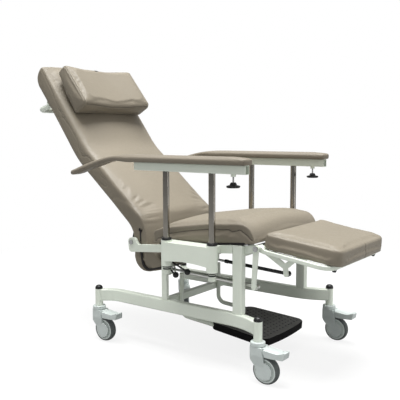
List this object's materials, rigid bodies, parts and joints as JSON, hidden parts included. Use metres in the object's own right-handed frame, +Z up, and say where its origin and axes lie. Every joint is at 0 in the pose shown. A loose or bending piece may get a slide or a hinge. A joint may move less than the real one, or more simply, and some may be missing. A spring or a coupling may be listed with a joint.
{
  "type": "reclining treatment chair",
  "caption": "Wheeled reclining treatment chair: padded seat, bent backrest with head pillow, hinged leg rest, height-adjustable armrests, footplate and braked castors.",
  "frame": {"origin": "centre of the bounding box on the floor", "axes": "+X to the front, the way the sitter faces; +Y to the sitter's left; +Z up"},
  "size_m": [1.5094, 0.6846, 1.1939],
  "materials": {
    "upholstery": "fine-grained taupe synthetic leather over foam",
    "arm_cover": "smooth taupe synthetic leather over foam",
    "frame_paint": "off-white powder coat",
    "black_plastic": "satin black moulding",
    "chrome": "polished",
    "steel": "zinc plated",
    "black_paint": "semi-gloss black",
    "board": "plywood stained black",
    "webbing": "black flat webbing",
    "foot_mat": "dark ribbed rubber on sheet",
    "castor_plastic": "satin grey moulding",
    "wheel_disc": "light grey moulding",
    "tyre": "grey non-marking tread"
  },
  "bodies": {
    "base": {"base_rail_right": "frame_paint", "base_rail_left": "frame_paint", "castor_sockets": "frame_paint", "socket_caps": "black_plastic", "cross_tubes": "frame_paint", "frame_posts": "frame_paint", "seat_rail_right": "frame_paint", "seat_rail_left": "frame_paint", "arm_housing_right": "frame_paint", "arm_housing_left": "frame_paint", "arm_bushes": "black_plastic", "seat_board": "board", "seat_cushion": "upholstery", "footplate_frame": "frame_paint", "footplate": "foot_mat", "spring_brackets": "frame_paint", "pivot_bolts": "steel"},
    "backrest": {"back_cushion": "upholstery", "back_board": "board", "back_panel": "upholstery", "back_pillow": "upholstery", "pillow_straps": "webbing", "push_handle": "frame_paint", "back_brackets": "frame_paint"},
    "leg_rest": {"leg_cushion": "upholstery", "leg_board": "board", "leg_frame": "frame_paint", "leg_feet": "black_plastic"},
    "back_lever": {"back_release_lever": "black_plastic"},
    "leg_lever": {"leg_release_lever": "black_plastic"},
    "back_cylinder": {"back_spring_cylinder": "steel"},
    "back_rod": {"back_spring_rod": "steel"},
    "leg_cylinder": {"leg_spring_cylinder": "black_paint"},
    "leg_rod": {"leg_spring_rod": "steel"},
    "arm_right": {"arm_rail_right": "frame_paint", "arm_pad_right": "arm_cover", "arm_posts_right": "chrome"},
    "knob_right": {"clamp_knob_right": "black_plastic"},
    "arm_left": {"arm_rail_left": "frame_paint", "arm_pad_left": "arm_cover", "arm_posts_left": "chrome"},
    "knob_left": {"clamp_knob_left": "black_plastic"},
    "castor_front_right": {"castor_fork_front_right": "castor_plastic"},
    "wheel_front_right": {"castor_wheel_front_right": "wheel_disc", "castor_tyre_front_right": "tyre"},
    "pedal_front_right": {"castor_pedal_front_right": "castor_plastic"},
    "castor_front_left": {"castor_fork_front_left": "castor_plastic"},
    "wheel_front_left": {"castor_wheel_front_left": "wheel_disc", "castor_tyre_front_left": "tyre"},
    "pedal_front_left": {"castor_pedal_front_left": "castor_plastic"},
    "castor_rear_right": {"castor_fork_rear_right": "castor_plastic"},
    "wheel_rear_right": {"castor_wheel_rear_right": "wheel_disc", "castor_tyre_rear_right": "tyre"},
    "pedal_rear_right": {"castor_pedal_rear_right": "castor_plastic"},
    "castor_rear_left": {"castor_fork_rear_left": "castor_plastic"},
    "wheel_rear_left": {"castor_wheel_rear_left": "wheel_disc", "castor_tyre_rear_left": "tyre"},
    "pedal_rear_left": {"castor_pedal_rear_left": "castor_plastic"}
  },
  "joints": [
    {"name": "back_recline", "type": "hinge", "parent": "base", "child": "backrest", "pos_m": [-0.13244, 0, 0.43394], "axis": [0, -1, 0], "range_deg": [-20, 16]},
    {"name": "leg_lift", "type": "hinge", "parent": "base", "child": "leg_rest", "pos_m": [0.45558, 0, 0.466], "axis": [0, -1, 0], "range_deg": [-65, 7.5]},
    {"name": "arm_height_right", "type": "slide", "parent": "base", "child": "arm_right", "axis": [0, 0, 1], "range_m": [-0.2, 0]},
    {"name": "knob_turn_right", "type": "hinge", "parent": "arm_right", "child": "knob_right", "pos_m": [0.39958, -0.3063, 0.715], "axis": [0, 0, 1], "continuous": true},
    {"name": "arm_height_left", "type": "slide", "parent": "base", "child": "arm_left", "axis": [0, 0, 1], "range_m": [-0.2, 0]},
    {"name": "knob_turn_left", "type": "hinge", "parent": "arm_left", "child": "knob_left", "pos_m": [0.39958, 0.3063, 0.715], "axis": [0, 0, 1], "continuous": true},
    {"name": "back_lever_pull", "type": "hinge", "parent": "base", "child": "back_lever", "pos_m": [0.07758, -0.267, 0.388], "axis": [0, -1, 0], "range_deg": [0, 15], "stiffness_Nm_per_rad": 2, "springref_deg": -2.86},
    {"name": "leg_lever_pull", "type": "hinge", "parent": "base", "child": "leg_lever", "pos_m": [0.07758, -0.277, 0.388], "axis": [0, -1, 0], "range_deg": [0, 10], "stiffness_Nm_per_rad": 2, "springref_deg": -2.86},
    {"name": "back_spring_tilt", "type": "hinge", "parent": "base", "child": "back_cylinder", "pos_m": [0.44658, -0.22, 0.322], "axis": [0, -1, 0], "range_deg": [-6.2, 7.7]},
    {"name": "back_spring_slide", "type": "slide", "parent": "back_cylinder", "child": "back_rod", "axis": [-0.9993, 0, 0.0386], "range_m": [-0.0264, 0.033]},
    {"name": "leg_spring_tilt", "type": "hinge", "parent": "leg_rest", "child": "leg_cylinder", "pos_m": [0.55822, -0.192, 0.37987], "axis": [0, -1, 0], "range_deg": [-6.5, 54.8]},
    {"name": "leg_spring_slide", "type": "slide", "parent": "leg_cylinder", "child": "leg_rod", "axis": [-0.9988, 0, 0.0491], "range_m": [-0.127, 0.015]},
    {"name": "swivel_front_right", "type": "hinge", "parent": "base", "child": "castor_front_right", "pos_m": [0.49558, -0.2915, 0.16], "axis": [0, 0, 1], "continuous": true},
    {"name": "roll_front_right", "type": "hinge", "parent": "castor_front_right", "child": "wheel_front_right", "pos_m": [0.53158, -0.2915, 0.05], "axis": [0, 1, 0], "continuous": true},
    {"name": "brake_front_right", "type": "hinge", "parent": "castor_front_right", "child": "pedal_front_right", "pos_m": [0.50758, -0.2915, 0.1225], "axis": [0, 1, 0], "range_deg": [0, 10]},
    {"name": "swivel_front_left", "type": "hinge", "parent": "base", "child": "castor_front_left", "pos_m": [0.49558, 0.2915, 0.16], "axis": [0, 0, 1], "continuous": true},
    {"name": "roll_front_left", "type": "hinge", "parent": "castor_front_left", "child": "wheel_front_left", "pos_m": [0.53158, 0.2915, 0.05], "axis": [0, 1, 0], "continuous": true},
    {"name": "brake_front_left", "type": "hinge", "parent": "castor_front_left", "child": "pedal_front_left", "pos_m": [0.50758, 0.2915, 0.1225], "axis": [0, 1, 0], "range_deg": [0, 10]},
    {"name": "swivel_rear_right", "type": "hinge", "parent": "base", "child": "castor_rear_right", "pos_m": [-0.29642, -0.2915, 0.16], "axis": [0, 0, 1], "continuous": true},
    {"name": "roll_rear_right", "type": "hinge", "parent": "castor_rear_right", "child": "wheel_rear_right", "pos_m": [-0.26042, -0.2915, 0.05], "axis": [0, 1, 0], "continuous": true},
    {"name": "brake_rear_right", "type": "hinge", "parent": "castor_rear_right", "child": "pedal_rear_right", "pos_m": [-0.28442, -0.2915, 0.1225], "axis": [0, 1, 0], "range_deg": [0, 10]},
    {"name": "swivel_rear_left", "type": "hinge", "parent": "base", "child": "castor_rear_left", "pos_m": [-0.29642, 0.2915, 0.16], "axis": [0, 0, 1], "continuous": true},
    {"name": "roll_rear_left", "type": "hinge", "parent": "castor_rear_left", "child": "wheel_rear_left", "pos_m": [-0.27141, 0.2656, 0.05], "axis": [0.7193, 0.6947, 0], "continuous": true},
    {"name": "brake_rear_left", "type": "hinge", "parent": "castor_rear_left", "child": "pedal_rear_left", "pos_m": [-0.28808, 0.28287, 0.1225], "axis": [0.7193, 0.6947, 0], "range_deg": [0, 10]}
  ],
  "couplings": [
    {"joint": "back_spring_tilt", "follows": "back_recline", "ratio": -0.37778},
    {"joint": "back_spring_slide", "follows": "back_recline", "m_per_rad": -0.092806},
    {"joint": "leg_spring_tilt", "follows": "leg_lift", "ratio": -0.83683},
    {"joint": "leg_spring_slide", "follows": "leg_lift", "m_per_rad": 0.11122}
  ]
}
